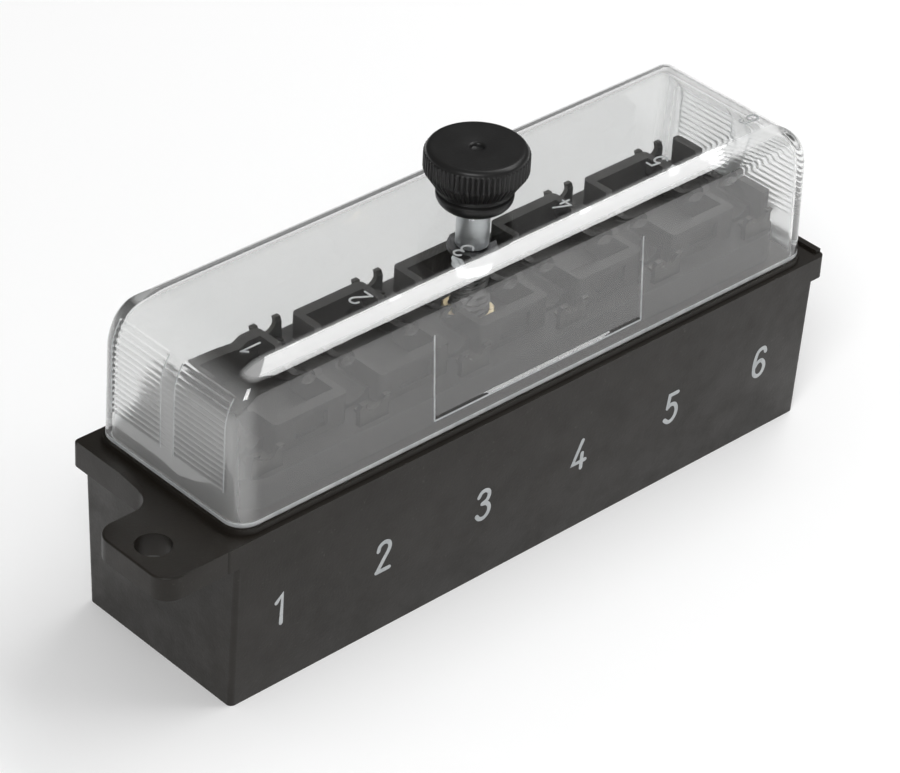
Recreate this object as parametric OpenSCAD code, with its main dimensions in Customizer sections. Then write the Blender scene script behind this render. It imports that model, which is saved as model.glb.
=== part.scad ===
// Six-bay fuse box for flush mounting, with a clear cover held by one captive thumb screw.
// Millimetres. X runs along the row of bays, Y from front to rear, Z up from the foot of the skirt.

/* [Fuse bays] */
// Distance between the centres of neighbouring bays
bay_pitch = 20.4; // [18:0.2:26]
// Diameter of the fuse that a bay takes
fuse_d = 6; // [5:0.1:7]
// Clear distance between the two contacts of a bay
contact_span = 22.8; // [20:0.2:30]
// Clearance on each side of the fuse
fuse_clear = 0.2; // [0.1:0.05:0.6]
// Thickness of the walls beside a fuse
bay_wall_t = 1.3; // [1:0.1:2]
// Thickness of the front and rear wall rows
row_wall_t = 2; // [1.2:0.1:3]
// Depth of the wall rows from their front face to their rear face
row_depth = 20; // [16:0.2:20]
// Height of the walls above the platform
bay_wall_h = 5.3; // [4.4:0.1:8]
// Rounding of the upright corners of the wall rows
row_r = 1; // [0.4:0.1:1.2]
// Thickness of the wall past the outermost bays
end_wall_t = 1.6; // [1.2:0.1:3]
// Rounding of the upright edges of that wall
end_wall_r = 0.5; // [0.2:0.05:0.55]
// Height of the fuse axis above the platform
fuse_axis_h = 3.6; // [3.6:0.1:4.2]
// Height of the cradle that a fuse lies in
cradle_h = 2; // [1.2:0.1:3]
// Length of the cradle along the fuse
cradle_l = 15; // [8:0.5:15]
// Radius of the finger dip in the walls beside a fuse
finger_r = 4.5; // [3:0.1:6]
// Depth of the finger dip
finger_depth = 3; // [1.5:0.1:3.6]
// Width of the recess in the outer face of a wall row
recess_w = 6; // [3:0.1:8]
// Height of that recess
recess_h = 2.8; // [1.5:0.1:3]
// Depth of that recess
recess_depth = 0.7; // [0.3:0.05:1]

/* [Contacts] */
// Thickness of the contact strip
contact_t = 0.8; // [0.5:0.05:1]
// Width of the strip between the bay walls
contact_w = 5.6; // [4:0.1:5.8]
// Width of the blade terminal
blade_w = 6.3; // [4.8:0.1:6.5]
// Length of the blade terminal below its shoulder
blade_l = 15; // [8:0.5:20]
// Width taken off each side of the blade at its tip
blade_taper_w = 1; // [0.4:0.1:1.6]
// Height over which the blade's tip narrows
blade_taper_h = 1.6; // [0.8:0.1:2.4]
// Width of the shoulder under the plate
shoulder_w = 8; // [7:0.1:10]
// Height of the shoulder
shoulder_h = 2; // [1:0.1:3]
// Height of the strip's upright part above the platform
strip_h = 3.2; // [2.6:0.1:3.6]
// Diameter of the round notch that takes the fuse tip
notch_d = 3.4; // [2.4:0.1:4]
// Diameter of the detent hole in the blade
detent_d = 1.8; // [1.2:0.1:2.2]
// Height of the detent hole above the blade's tip
detent_h = 5; // [4:0.1:6]
// Width of the spring tongue under the fuse
tongue_w = 3.2; // [2:0.1:4]
// Reach of the spring tongue towards the bay
tongue_l = 1.9; // [1:0.1:2.2]
// Rise of the spring tongue along its reach
tongue_rise = 1; // [0.4:0.1:1.2]
// Outward reach of the lead-in lip at the top
lip_l = 0.4; // [0.3:0.1:0.8]
// Height of the lead-in lip
lip_h = 0.7; // [0.5:0.1:1]
// Clearance round the strip in its slot
slot_clear = 0.1; // [0.05:0.05:0.2]

/* [Base] */
// Height of the plate's top above the foot of the skirt
plate_top = 30; // [28:0.5:45]
// Thickness of the plate, its flanges and ears
plate_t = 4; // [3.5:0.1:6]
// Height above the plate of the seat that the cover stands on
seat_h = 1; // [0.5:0.1:2]
// Width of that seat left outside the cover's foot
seat_rim = 0.4; // [0.2:0.1:0.8]
// Thickness of the skirt's walls
skirt_t = 2.2; // [1.4:0.1:3]
// Rounding of the skirt's upright corners
skirt_r = 0.9; // [0.5:0.1:1.3]
// Inward lean of the skirt's front and rear walls from the plate down to the foot
skirt_draft = 1; // [0.2:0.1:1.2]
// Plate width left beside the cover at each end
ledge_end = 1.2; // [1:0.1:6]
// Plate width left beside the cover at the front and rear
ledge_side = 1.2; // [1:0.1:6]
// Overhang of the plate past the skirt at each end
flange_over = 2.3; // [2:0.1:6]
// Rounding of the flange's corners
flange_r = 1.2; // [0.4:0.1:2]
// Height of the bead along the free edge of a flange
bead_h = 0.6; // [0.3:0.1:1.5]
// Width of that bead
bead_w = 1.1; // [0.6:0.1:1.8]
// Reach of an ear past the flange
ear_reach = 11.1; // [9.6:0.1:16]
// Width of an ear
ear_w = 16.2; // [14:0.1:17]
// Rounding of an ear's outer corners
ear_r = 3.2; // [1:0.1:4]
// Fillet between an ear and its flange
ear_fillet = 3.6; // [1:0.1:5]
// Diameter of the fixing hole in an ear
ear_hole_d = 5.6; // [4:0.1:6.5]
// Distance from the fixing hole's centre to the ear's end
ear_hole_edge = 4.6; // [4.2:0.1:5]

/* [Platform] */
// Height of the platform above the plate
platform_h = 6.2; // [4:0.1:8]
// Platform width left outside a contact
platform_rim = 1; // [0.8:0.1:2]
// Platform length left past the end walls
platform_end = 0.5; // [0.3:0.1:2]
// Rounding of the platform's upright corners
platform_r = 5; // [3.2:0.1:8]
// Thickness of the platform's top over the hollow below
platform_skin = 2.4; // [1.6:0.1:3]
// Thickness of the platform between the hollow and the contact slots
slot_wall = 1.4; // [1:0.1:2.4]

/* [Cover] */
// Height of the cover
cover_h = 24.5; // [23:0.5:36]
// Wall thickness of the cover
cover_t = 1.6; // [1.2:0.1:2.2]
// Gap between the cover's foot and the platform
cover_gap = 1.5; // [0.6:0.1:2]
// Inward lean of each long wall over the cover's height
cover_draft = 1.6; // [0.6:0.1:1.8]
// Inward lean of each end wall over the cover's height
cover_end_draft = 0.2; // [0.1:0.1:1.4]
// Plan rounding of the cover's corners at its foot
cover_corner_r = 3.6; // [3:0.1:7]
// Rounding of the long top edges
cover_edge_r = 4.2; // [2.4:0.1:4.6]
// Rounding of the top edges at the ends
cover_end_r = 8.5; // [4:0.1:9]
// Spacing of the grip grooves in the end walls
grip_pitch = 1; // [0.9:0.1:1.6]
// Depth of the grip grooves
grip_depth = 0.25; // [0.15:0.05:0.4]
// Height of the lowest grip groove above the cover's foot
grip_start = 6; // [4:0.5:8]
// Plain height left between the top groove and the cover's top
grip_left = 3.5; // [2:0.1:6]
// Plain width left between the two groups of grip grooves
grip_middle = 3; // [1:0.1:6]
// Width of the recessed panel in the front wall
panel_w = 43; // [20:0.5:80]
// Height of the recessed panel
panel_h = 14.6; // [8:0.1:16]
// Height of the panel's foot above the cover's foot
panel_foot = 3; // [1.5:0.1:4]
// Depth of the recessed panel
panel_depth = 0.4; // [0.2:0.05:0.6]

/* [Thumb screw] */
// Diameter of the knob's rim
knob_d = 16.2; // [15:0.1:24]
// Height of the knob
knob_h = 10; // [9.6:0.1:14]
// Height of the upright part of the rim
knob_rim_h = 3.7; // [3:0.1:4.8]
// Rounding of the knob's top edge
knob_edge_r = 0.8; // [0.4:0.1:1.2]
// Diameter of the collar under the rim
collar_d = 12; // [11:0.1:14]
// Height of the collar
collar_h = 2.4; // [2:0.1:4]
// Rounding of the collar's lower edge
collar_r = 2; // [1:0.1:2]
// Height of the groove between collar and rim
knob_groove_h = 0.5; // [0.3:0.1:0.8]
// Depth of that groove
knob_groove_depth = 0.5; // [0.2:0.1:0.8]
// Height of the plain ring between that groove and the knurls
knob_ring_h = 0.7; // [0.3:0.1:1.2]
// Number of knurls round the rim
knurl_count = 60; // [24:2:80]
// Depth of the knurls
knurl_depth = 0.3; // [0.1:0.05:0.5]
// Step from the roots of the knurls in to the knob's plain surface
knurl_step = 0.05; // [0.02:0.01:0.1]
// Diameter of the dimple in the knob's top
dimple_d = 2.2; // [1:0.1:4]
// Depth of the dimple
dimple_depth = 0.6; // [0.2:0.1:1]
// Depth of the shank's seat in the knob
shank_seat = 7; // [6.6:0.1:8]
// Height of the shank's flat head, which the knob is moulded round
head_h = 3.4; // [2:0.1:3.8]
// Least wall of the knob round that head
head_wall = 0.8; // [0.6:0.1:1.6]
// Diameter of the plain shank
shank_d = 5.2; // [4.9:0.1:5.8]
// Major diameter of the thread
thread_d = 5.9; // [5.9:0.1:6.9]
// Rise of the screw in one turn
thread_pitch = 1; // [0.5:0.05:1.5]
// Turns that free the screw from its insert
thread_turns = 5; // [4:1:9]
// Chamfer at the screw's tip
tip_chamfer = 0.8; // [0.3:0.1:1.2]
// Radial clearance of the screw in its insert
thread_clear = 0.05; // [0.02:0.01:0.1]
// Radial clearance of the screw in the cover
cover_hole_clear = 0.2; // [0.1:0.05:0.4]

/* [Retaining clip] */
// Thickness of the clip
clip_t = 0.8; // [0.5:0.1:1]
// Outer diameter of the clip
clip_d = 7.6; // [7.2:0.1:10]
// Diameter of the shank in the clip's groove
clip_seat_d = 4.2; // [3.6:0.1:4.4]
// Radial clearance of the clip on the shank
clip_clear = 0.05; // [0.02:0.01:0.1]
// Clearance above and below the clip in its groove
clip_side_clear = 0.1; // [0.05:0.05:0.2]
// Width of the clip's open side
clip_mouth = 3.4; // [2:0.1:3.6]
// Free height left between the raised clip and the cover
clip_spare = 1; // [0.4:0.1:2]

/* [Threaded insert] */
// Outer diameter of the insert
insert_d = 8; // [7.8:0.1:9]
// Length of the insert below the platform's top
insert_l = 12; // [9:0.5:14]
// Height of the insert's rim above the platform
insert_proud = 0.6; // [0.2:0.1:1]
// Chamfer on the insert's rim
insert_chamfer = 0.3; // [0.1:0.05:0.4]
// Wall thickness of the boss round the insert
boss_t = 2; // [1.4:0.1:3]
// Thickness of the boss below the insert
boss_floor = 1.6; // [1:0.1:3]

/* [Hidden] */
$fn = 48;
// Overlap that lets joined or cut shapes run into each other
over = 0.5;
bay_count = 6;

// Row of bays
trough_w = fuse_d + 2 * fuse_clear;
cell_l = bay_pitch - trough_w;
row_l = (bay_count - 1) * bay_pitch + trough_w + 2 * end_wall_t;
platform_top = plate_top + platform_h;
row_top = platform_top + bay_wall_h;
fuse_axis_z = platform_top + fuse_axis_h;
recess_z = platform_top + (bay_wall_h - recess_h) / 2;

// Contacts
contact_y = contact_span / 2;
contact_foot = contact_y + contact_t;
plate_under = plate_top - plate_t;
shoulder_foot = plate_under - shoulder_h;
blade_foot = shoulder_foot - blade_l;
strip_top = platform_top + strip_h;
lip_top = strip_top + lip_h;
slot_w = contact_w + 2 * slot_clear;
slot_t = contact_t + 2 * slot_clear;
blade_tip_w = blade_w - 2 * blade_taper_w;
detent_z = blade_foot + detent_h;

// Platform, cover and plate follow the bays
platform_l = row_l + 2 * platform_end;
platform_d = 2 * (contact_foot + slot_clear + platform_rim);
cover_l = platform_l + 2 * (cover_gap + cover_t);
cover_d = platform_d + 2 * (cover_gap + cover_t);
body_l = cover_l + 2 * ledge_end;
body_d = cover_d + 2 * ledge_side;
plate_l = body_l + 2 * flange_over;
hollow_l = platform_l - 2 * platform_skin;
hollow_d = contact_span - 2 * (slot_clear + slot_wall);
hollow_top = platform_top - platform_skin;
ear_end = plate_l / 2 + ear_reach;
ear_hole_x = ear_end - ear_hole_edge;
ear_hole_y = body_d / 2 - ear_w / 2;

// Cover
seat_top = plate_top + seat_h;
cover_top = seat_top + cover_h;
cover_inner_top = cover_top - cover_t;
cover_lean = atan(cover_draft / cover_h);
cover_end_lean = atan(cover_end_draft / cover_h);
corner_steps = 6;
edge_steps = 8;
corner_min_r = 1.2;
grip_count = floor((cover_h - grip_left - grip_start) / grip_pitch) + 1;
grip_w = (cover_d - grip_middle) / 2 - cover_corner_r;

// Thumb screw and insert
knob_r = knob_d / 2;
knob_core_r = knob_r - knurl_depth - knurl_step;
knob_ring_z = collar_h + knob_groove_h;
knurl_z = knob_ring_z + knob_ring_h;
knurl_foot_r = collar_d / 2 + knurl_depth + knurl_step;
knob_rim_z = knob_h - knob_rim_h;
shank_top = cover_top + shank_seat;
head_r = collar_d / 2 - head_wall;
insert_top = platform_top + insert_proud;
insert_foot = platform_top - insert_l;
screw_rise = thread_turns * thread_pitch;
screw_tip = insert_top - screw_rise;
clip_top = cover_inner_top - clip_spare - screw_rise;
clip_foot = clip_top - clip_t;
groove_foot = clip_foot - clip_side_clear;
groove_top = clip_top + clip_side_clear;
thread_top = groove_foot - clip_t;
insert_bore = thread_d + 2 * thread_clear;
boss_d = insert_d + 2 * boss_t;
boss_foot = insert_foot - boss_floor;

function bay_x(k) = (k - (bay_count + 1) / 2) * bay_pitch;

// Rectangle about the origin with rounded corners
module rounded_rect(l, d, r) {
    square([l - 2 * r, d], center = true);
    square([l, d - 2 * r], center = true);
    for (sx = [-1, 1], sy = [-1, 1])
        translate([sx * (l / 2 - r), sy * (d / 2 - r)])
            circle(r);
}

// Both ends alike, the second turned half a turn about the upright axis
module both_ends() {
    for (turn = [0, 180])
        rotate(turn)
            children();
}

// Lofts

// Points of a rectangle with rounded corners, once round at height z
function loft_ring(half_l, half_d, r, z) = [
    for (quarter = [0 : 3], i = [0 : corner_steps])
        let (
            a = 90 * (quarter + i / corner_steps),
            sx = quarter == 0 || quarter == 3 ? 1 : -1,
            sy = quarter < 2 ? 1 : -1
        )
            [sx * (half_l - r) + r * cos(a), sy * (half_d - r) + r * sin(a), z]
];

// Closed solid through a stack of such rings, the lowest first
module loft(rings) {
    count = len(rings[0]);
    last = len(rings) - 1;
    sides = [
        for (i = [0 : last - 1], j = [0 : count - 1])
            let (a = i * count + j, b = i * count + (j + 1) % count)
                each [[a, a + count, b + count], [a, b + count, b]]
    ];
    under = [for (j = [0 : count - 1]) j];
    top = [for (j = [count - 1 : -1 : 0]) last * count + j];
    polyhedron(points = [for (ring = rings) each ring], faces = concat(sides, [under, top]));
}

// Base

// One ear in plan at the left end, with its rounded corners and the fillet at its root
module ear_outline() {
    front = -body_d / 2;
    inner = -plate_l / 2;
    difference() {
        union() {
            translate([-ear_end, front + ear_r])
                square([ear_end + inner + over, ear_w - 2 * ear_r]);
            translate([-ear_end + ear_r, front])
                square([ear_end + inner - ear_r + over, ear_w]);
            for (y = [front + ear_r, front + ear_w - ear_r])
                translate([-ear_end + ear_r, y])
                    circle(ear_r);
            translate([inner - ear_fillet, front + ear_w - over])
                square([ear_fillet + over, ear_fillet + over]);
        }
        translate([inner - ear_fillet, front + ear_w + ear_fillet])
            circle(ear_fillet);
    }
}

// Plate with its two ears, each with a fixing hole
module plate() {
    translate([0, 0, plate_under])
        linear_extrude(plate_t) {
            rounded_rect(plate_l, body_d, flange_r);
            both_ends()
                ear_outline();
        }
}

// Solid skirt with upright ends, whose front and rear lean in towards the foot
module skirt() {
    loft([
        loft_ring(body_l / 2, body_d / 2 - skirt_draft, skirt_r, 0),
        loft_ring(body_l / 2, body_d / 2, skirt_r, plate_under),
        loft_ring(body_l / 2, body_d / 2, skirt_r, plate_top)
    ]);
}

// Raised bead along the free edge of one flange
module flange_bead() {
    bead_l = body_d - ear_w - ear_fillet - flange_r;
    translate([-plate_l / 2, body_d / 2 - flange_r - bead_l, plate_top - over])
        cube([bead_w, bead_l, bead_h + over]);
}

// Plan of the wall rows: a ring between neighbouring bays and a wall past each end bay
module row_outline() {
    for (k = [1 : bay_count - 1])
        translate([bay_x(k) + bay_pitch / 2, 0])
            difference() {
                rounded_rect(cell_l, row_depth, row_r);
                square([cell_l - 2 * bay_wall_t, row_depth - 2 * row_wall_t], center = true);
            }
    both_ends()
        translate([row_l / 2 - end_wall_t / 2, 0])
            rounded_rect(end_wall_t, row_depth, end_wall_r);
}

// Finger dips along the bays and recesses in the outer faces of the rows
module row_cuts() {
    translate([-row_l / 2 - over, 0, row_top + finger_r - finger_depth])
        rotate([0, 90, 0])
            cylinder(h = row_l + 2 * over, r = finger_r);
    both_ends()
        for (k = [1 : bay_count - 1])
            translate([bay_x(k) + bay_pitch / 2 - recess_w / 2, -row_depth / 2 - over, recess_z])
                cube([recess_w, recess_depth + over, recess_h]);
}

// Rows of walls that part the bays
module bay_walls() {
    difference() {
        translate([0, 0, platform_top - over])
            linear_extrude(bay_wall_h + over)
                row_outline();
        row_cuts();
    }
}

// Cradle with a round seat for the fuse of one bay
module cradle() {
    difference() {
        translate([-trough_w / 2 - over, -cradle_l / 2, platform_top - over])
            cube([trough_w + 2 * over, cradle_l, cradle_h + over]);
        translate([0, cradle_l / 2 + over, fuse_axis_z])
            rotate([90, 0, 0])
                cylinder(h = cradle_l + 2 * over, d = fuse_d);
    }
}

module base_housing() {
    color("#2b2825")
        difference() {
            union() {
                difference() {
                    union() {
                        skirt();
                        plate();
                        both_ends()
                            flange_bead();
                        translate([0, 0, plate_top - over])
                            linear_extrude(seat_h + over)
                                rounded_rect(
                                    cover_l + 2 * seat_rim, cover_d + 2 * seat_rim, cover_corner_r + seat_rim
                                );
                        translate([0, 0, plate_top - over])
                            linear_extrude(platform_h + over)
                                rounded_rect(platform_l, platform_d, platform_r);
                    }
                    // Open space inside the skirt, and the hollow under the platform
                    translate([0, 0, -over])
                        linear_extrude(plate_under + over)
                            square([body_l - 2 * skirt_t, body_d - 2 * skirt_t], center = true);
                    translate([0, 0, plate_under - over])
                        linear_extrude(hollow_top - plate_under + over)
                            square([hollow_l, hollow_d], center = true);
                }
                bay_walls();
                for (k = [1 : bay_count])
                    translate([bay_x(k), 0, 0])
                        cradle();
                translate([0, 0, boss_foot])
                    cylinder(h = hollow_top + over - boss_foot, d = boss_d);
            }
            // Seat of the insert, with a smaller way out below it
            translate([0, 0, insert_foot])
                cylinder(h = platform_top + over - insert_foot, d = insert_d);
            translate([0, 0, boss_foot - over])
                cylinder(h = boss_floor + 2 * over, d = insert_bore);
            for (k = [1 : bay_count], side = [-1, 1])
                translate([bay_x(k), side * (contact_y + contact_t / 2), (plate_under + platform_top) / 2])
                    cube([slot_w, slot_t, platform_top - plate_under + 2 * over], center = true);
            both_ends()
                translate([-ear_hole_x, -ear_hole_y, plate_under - over])
                    cylinder(h = plate_t + 2 * over, d = ear_hole_d);
        }
}

// Contacts

// Flat outline of a contact seen from the front: blade, shoulder and strip
module contact_blank() {
    half = [
        [blade_tip_w / 2, blade_foot],
        [blade_w / 2, blade_foot + blade_taper_h],
        [blade_w / 2, shoulder_foot],
        [shoulder_w / 2, shoulder_foot],
        [shoulder_w / 2, plate_under],
        [contact_w / 2, plate_under],
        [contact_w / 2, strip_top]
    ];
    mirrored = [for (i = [len(half) - 1 : -1 : 0]) [-half[i].x, half[i].y]];
    difference() {
        polygon(concat(half, mirrored));
        translate([0, detent_z])
            circle(d = detent_d);
    }
}

// Side view of a bent strip of the contact's thickness, from one point up to another
module bent_strip(width, from, to) {
    translate([-width / 2, 0, 0])
        rotate([90, 0, 90])
            linear_extrude(width)
                polygon([from, [from.x + contact_t, from.y], [to.x + contact_t, to.y], to]);
}

// One contact for the front of a bay
module contact() {
    color("#b9b4a6") {
        difference() {
            union() {
                translate([0, -contact_y, 0])
                    rotate([90, 0, 0])
                        linear_extrude(contact_t)
                            contact_blank();
                bent_strip(contact_w, [-contact_foot, strip_top - over / 2], [-contact_foot - lip_l, lip_top]);
            }
            translate([0, over - contact_y, fuse_axis_z])
                rotate([90, 0, 0])
                    cylinder(h = contact_t + lip_l + 2 * over, d = notch_d);
        }
        translate([-tongue_w / 2, 0, 0])
            rotate([90, 0, 90])
                linear_extrude(tongue_w)
                    polygon([
                        [-contact_y - contact_t / 2, platform_top],
                        [-contact_y, platform_top],
                        [-contact_y + tongue_l, platform_top + tongue_rise],
                        [-contact_y + tongue_l, platform_top + tongue_rise + contact_t / 2],
                        [-contact_y - contact_t / 2, platform_top + contact_t]
                    ]);
    }
}

module front_contact(k) {
    translate([bay_x(k), 0, 0])
        contact();
}

module rear_contact(k) {
    translate([bay_x(k), 0, 0])
        rotate(180)
            contact();
}

// Cover

// Inward step of a rounded top edge at height z
function edge_step(z, h, r) = z <= h - r ? 0 : r - sqrt(max(0, r * r - (z - h + r) * (z - h + r)));

// Solid with leaning walls, rounded corners, rounded long edges and larger rounding at its ends
module leaning_block(l, d, h, corner_r, edge_r, end_r, foot = 0) {
    levels = concat([foot], [for (i = [0 : edge_steps]) h - end_r * (1 - sin(90 * i / edge_steps))]);
    loft([
        for (z = levels)
            let (side = cover_draft * z / cover_h + edge_step(z, h, edge_r))
                loft_ring(
                    l / 2 - cover_end_draft * z / cover_h - edge_step(z, h, end_r),
                    d / 2 - side,
                    max(corner_r - side, corner_min_r),
                    z
                )
    ]);
}

// Inward step of an end wall at height z above the cover's foot, and the slope of its outward normal there
function end_step(z) = cover_end_draft * z / cover_h + edge_step(z, cover_h, cover_end_r);
function end_slope(z) = max(cover_end_lean, asin(max(0, z - cover_h + cover_end_r) / cover_end_r));

// Two groups of grip grooves for one end wall, which follow the wall up into its rounding
module grip_comb() {
    for (i = [0 : grip_count - 1], y = [grip_middle / 2 + grip_w, -grip_middle / 2])
        let (z = grip_start + i * grip_pitch)
            translate([end_step(z) - cover_l / 2, y, seat_top + z])
                rotate([0, end_slope(z), 0])
                    rotate([90, 0, 0])
                        linear_extrude(grip_w)
                            polygon([
                                [-over, -grip_depth - over],
                                [grip_depth, 0],
                                [-over, grip_depth + over]
                            ]);
}

module clear_cover() {
    color("#dfe6e8", 0.4)
        difference() {
            translate([0, 0, seat_top])
                leaning_block(cover_l, cover_d, cover_h, cover_corner_r, cover_edge_r, cover_end_r);
            translate([0, 0, seat_top])
                leaning_block(
                    cover_l - 2 * cover_t, cover_d - 2 * cover_t, cover_h - cover_t,
                    cover_corner_r - cover_t, cover_edge_r - cover_t, cover_end_r - cover_t, -over
                );
            translate([0, 0, cover_inner_top - over])
                cylinder(h = cover_t + 2 * over, d = thread_d + 2 * cover_hole_clear);
            both_ends()
                grip_comb();
            translate([0, -cover_d / 2, seat_top])
                rotate([-cover_lean, 0, 0])
                    translate([-panel_w / 2, -over, panel_foot])
                        cube([panel_w, panel_depth + over, panel_h]);
        }
}

// Thumb screw

// Half section of the knob inside its knurls, from its foot to its dimpled top
module knob_profile() {
    collar = collar_d / 2;
    waist = collar - knob_groove_depth;
    intersection() {
        difference() {
            union() {
                polygon([
                    [0, 0],
                    [collar - collar_r, 0],
                    [collar, collar_r],
                    [collar, collar_h],
                    [waist, collar_h],
                    [waist, knob_ring_z],
                    [collar, knob_ring_z],
                    [collar, knurl_z],
                    [knob_core_r, knob_rim_z],
                    [knob_core_r, knob_h - knob_edge_r],
                    [knob_core_r - knob_edge_r, knob_h],
                    [0, knob_h]
                ]);
                translate([collar - collar_r, collar_r])
                    circle(collar_r);
                translate([knob_core_r - knob_edge_r, knob_h - knob_edge_r])
                    circle(knob_edge_r);
            }
            square([shank_d / 2, shank_seat]);
            translate([0, shank_seat - head_h])
                square([head_r, head_h]);
            translate([0, knob_h - dimple_depth])
                square([dimple_d / 2, dimple_depth + over]);
        }
        square([knob_r + over, knob_h + over]);
    }
}

// Knurled outline of a given outer radius
module knurl_outline(outer_r) {
    polygon([
        for (i = [0 : 2 * knurl_count - 1])
            let (r = outer_r - (i % 2) * knurl_depth, a = i * 180 / knurl_count)
                [r * cos(a), r * sin(a)]
    ]);
}

// Knurls on the upright part of the rim, and on the taper below it
module knurls() {
    translate([0, 0, knob_rim_z])
        linear_extrude(knob_h - knob_edge_r - knob_rim_z)
            difference() {
                knurl_outline(knob_r);
                circle(knob_core_r - over);
            }
    translate([0, 0, knurl_z])
        linear_extrude(knob_rim_z - knurl_z, scale = knob_r / knurl_foot_r)
            difference() {
                knurl_outline(knurl_foot_r);
                circle(collar_d / 2 - over);
            }
}

module thumb_screw_knob() {
    color("#1b1b1c")
        translate([0, 0, cover_top]) {
            rotate_extrude()
                knob_profile();
            knurls();
        }
}

module thumb_screw_shank() {
    color("#9aa0a5")
        rotate_extrude()
            polygon([
                [0, screw_tip],
                [thread_d / 2 - tip_chamfer, screw_tip],
                [thread_d / 2, screw_tip + tip_chamfer],
                [thread_d / 2, thread_top],
                [shank_d / 2, thread_top],
                [shank_d / 2, groove_foot],
                [clip_seat_d / 2, groove_foot],
                [clip_seat_d / 2, groove_top],
                [shank_d / 2, groove_top],
                [shank_d / 2, shank_top - head_h],
                [head_r, shank_top - head_h],
                [head_r, shank_top],
                [0, shank_top]
            ]);
}

// Open ring in the shank's groove, which stops the screw from leaving the cover
module retaining_clip() {
    color("#6f7478")
        translate([0, 0, clip_foot])
            difference() {
                cylinder(h = clip_t, d = clip_d);
                translate([0, 0, -over])
                    cylinder(h = clip_t + 2 * over, d = clip_seat_d + 2 * clip_clear);
                translate([0, -clip_mouth / 2, -over])
                    cube([clip_d, clip_mouth, clip_t + 2 * over]);
            }
}

module threaded_insert() {
    color("#b5924a")
        difference() {
            rotate_extrude()
                polygon([
                    [0, insert_foot],
                    [insert_d / 2, insert_foot],
                    [insert_d / 2, insert_top - insert_chamfer],
                    [insert_d / 2 - insert_chamfer, insert_top],
                    [0, insert_top]
                ]);
            translate([0, 0, insert_foot - over])
                cylinder(h = insert_top - insert_foot + 2 * over, d = insert_bore);
        }
}

base_housing();
clear_cover();
thumb_screw_knob();
thumb_screw_shank();
retaining_clip();
threaded_insert();
front_contact(1);  // front_contact_1
front_contact(2);  // front_contact_2
front_contact(3);  // front_contact_3
front_contact(4);  // front_contact_4
front_contact(5);  // front_contact_5
front_contact(6);  // front_contact_6
rear_contact(1);  // rear_contact_1
rear_contact(2);  // rear_contact_2
rear_contact(3);  // rear_contact_3
rear_contact(4);  // rear_contact_4
rear_contact(5);  // rear_contact_5
rear_contact(6);  // rear_contact_6
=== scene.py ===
import math

import bmesh
import bpy
from mathutils import Matrix, Vector


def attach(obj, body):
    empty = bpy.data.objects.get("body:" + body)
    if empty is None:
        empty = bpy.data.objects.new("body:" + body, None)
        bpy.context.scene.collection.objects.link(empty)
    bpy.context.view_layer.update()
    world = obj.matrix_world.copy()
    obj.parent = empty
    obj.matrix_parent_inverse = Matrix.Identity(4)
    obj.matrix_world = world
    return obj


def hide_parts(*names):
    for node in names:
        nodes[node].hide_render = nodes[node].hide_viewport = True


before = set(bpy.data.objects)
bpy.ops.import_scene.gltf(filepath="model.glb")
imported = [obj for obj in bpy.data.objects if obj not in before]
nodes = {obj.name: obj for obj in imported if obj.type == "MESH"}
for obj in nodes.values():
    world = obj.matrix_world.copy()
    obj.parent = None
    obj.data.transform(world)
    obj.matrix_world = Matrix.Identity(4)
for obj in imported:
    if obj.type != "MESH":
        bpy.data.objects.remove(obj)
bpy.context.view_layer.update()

scene = bpy.context.scene
MM = 0.001

# Sizes repeated from the CAD source, in millimetres
PLATE_UNDER, PLATE_TOP, SEAT_TOP = 26.0, 30.0, 31.0
PLATE_HALF_L, PLATE_HALF_D = 60.55, 17.3
CORNER_FROM_X, CORNER_TO_X, CORNER_FROM_Y = 61.6, 62.95, 16.3
BEAD_FROM_X, BEAD_TOP, BEAD_END = 61.7, 30.6, 2.2
EAR_HOLE_X, EAR_HOLE_Y, EAR_HOLE_RIM = 69.4, 9.5, 3.0
COVER_L, COVER_D, COVER_H, COVER_T = 118.8, 32.8, 24.5, 1.6
SIDE_DRAFT, END_DRAFT = 1.6, 0.2
COVER_CORNER, MIN_CORNER, COVER_EDGE, COVER_END = 3.6, 1.2, 4.2, 8.5
HOLE_R = 3.15
GRIP_START, GRIP_PITCH, GRIP_COUNT, GRIP_DEPTH, GRIP_MIDDLE = 6.0, 1.0, 16, 0.25, 3.0
GRIP_HALF = 0.34
PANEL_W, PANEL_H, PANEL_FOOT, PANEL_DEPTH, PANEL_SLOPE = 43.0, 14.6, 3.0, 0.4, 0.35
BAY_PITCH = 20.4
FOOT_Y, DRAFT = 16.6, 1.0
COVER_TOP = SEAT_TOP + COVER_H
FIELD = COVER_D / 2 - COVER_CORNER

# Sizes of the visual model only, in millimetres
FOOT_EDGE, FLAT_BORDER = 0.5, 0.4
BEAD_RAMP = 4.0
OUTLINE_BREAK, OTHER_BREAK = 0.28, 0.22
LINE_SUNK, LINE_PROUD = 0.06, 0.03
PANEL_LINE, GRIP_LINE = 0.16, 0.13
FRONT_DIGIT, FRONT_STROKE, FRONT_THICK = 5.35, 0.38, 0.05
TOP_DIGIT, TOP_STROKE, TOP_THICK = 3.4, 0.17, 0.07
KNURLS, KNURL_DEPTH = 60, 0.32


# Mesh helpers

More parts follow.
